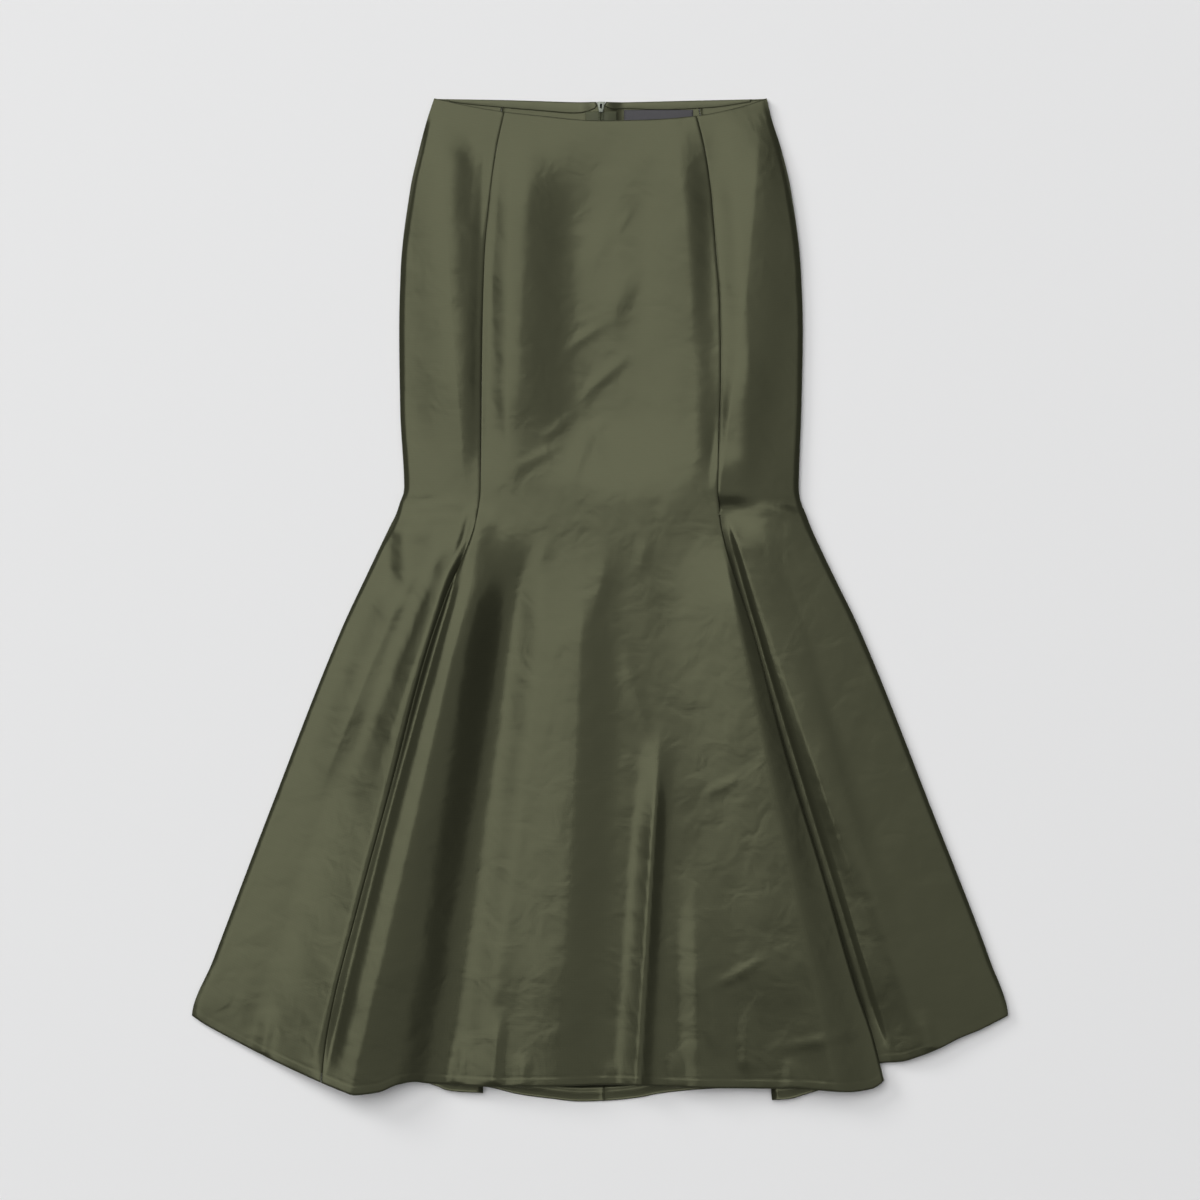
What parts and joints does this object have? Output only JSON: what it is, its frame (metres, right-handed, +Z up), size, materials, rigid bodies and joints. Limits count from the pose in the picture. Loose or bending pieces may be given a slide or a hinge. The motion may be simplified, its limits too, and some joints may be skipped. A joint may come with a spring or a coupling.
{
  "type": "mermaid fishtail skirt",
  "caption": "Floor-length mermaid fishtail skirt in olive satin, laid flat: close to the knee, then flared with folded pleats; concealed zip at the centre back.",
  "frame": {"origin": "centre of the bounding box's base, on the surface the skirt lies on", "axes": "+Z up out of the surface, through the back and then the front of the skirt; +Y towards the waist; +X towards the viewer's right as the front is looked at, which is the wearer's left"},
  "size_m": [0.815, 1.002, 0.0263],
  "materials": {
    "satin": "heavy satin, broad soft sheen",
    "satin_inside": "satin turned strip inside the waist",
    "label": "charcoal woven label, blank",
    "zip_tape": "matt woven tape",
    "zip_metal": "lacquered grey-green metal"
  },
  "bodies": {
    "skirt": {"front_centre": "satin", "front_side_left": "satin", "front_side_right": "satin", "back_centre_left": "satin", "back_centre_right": "satin", "back_side_left": "satin", "back_side_right": "satin", "facing_left": "satin_inside", "facing_right": "satin_inside", "label": "label", "zip_tape_left": "zip_tape", "zip_tape_right": "zip_tape", "zip_slider": "zip_metal"},
    "pull": {"zip_pull": "zip_metal"}
  },
  "joints": [
    {"name": "pull_turn", "type": "hinge", "parent": "skirt", "child": "pull", "pos_m": [0.001, 0.493, 0.0016], "axis": [1, 0, 0], "range_deg": [0, 150]}
  ]
}
